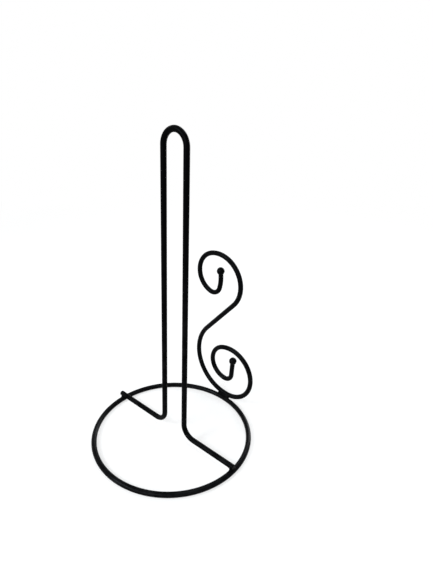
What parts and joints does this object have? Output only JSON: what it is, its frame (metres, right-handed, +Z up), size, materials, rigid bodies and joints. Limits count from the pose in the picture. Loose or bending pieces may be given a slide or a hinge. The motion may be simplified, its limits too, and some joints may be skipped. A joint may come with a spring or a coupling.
{
  "type": "paper towel holder",
  "caption": "Black wire stand for a roll of paper towels: floor ring, tall centre loop and an S-shaped side scroll.",
  "frame": {"origin": "on the table, at the centre of the base ring", "axes": "+Z up along the centre loop, +X along the loop's feet, and the side scroll stands on the +Y side"},
  "size_m": [0.1707, 0.174, 0.3125],
  "materials": {
    "rod_coating": "satin",
    "scroll_coating": "satin",
    "weld_coating": "satin"
  },
  "bodies": {
    "root": {"base_ring": "rod_coating", "centre_loop": "rod_coating", "side_scroll": "scroll_coating", "left_foot_weld": "weld_coating", "right_foot_weld": "weld_coating", "scroll_weld": "weld_coating"}
  },
  "joints": []
}
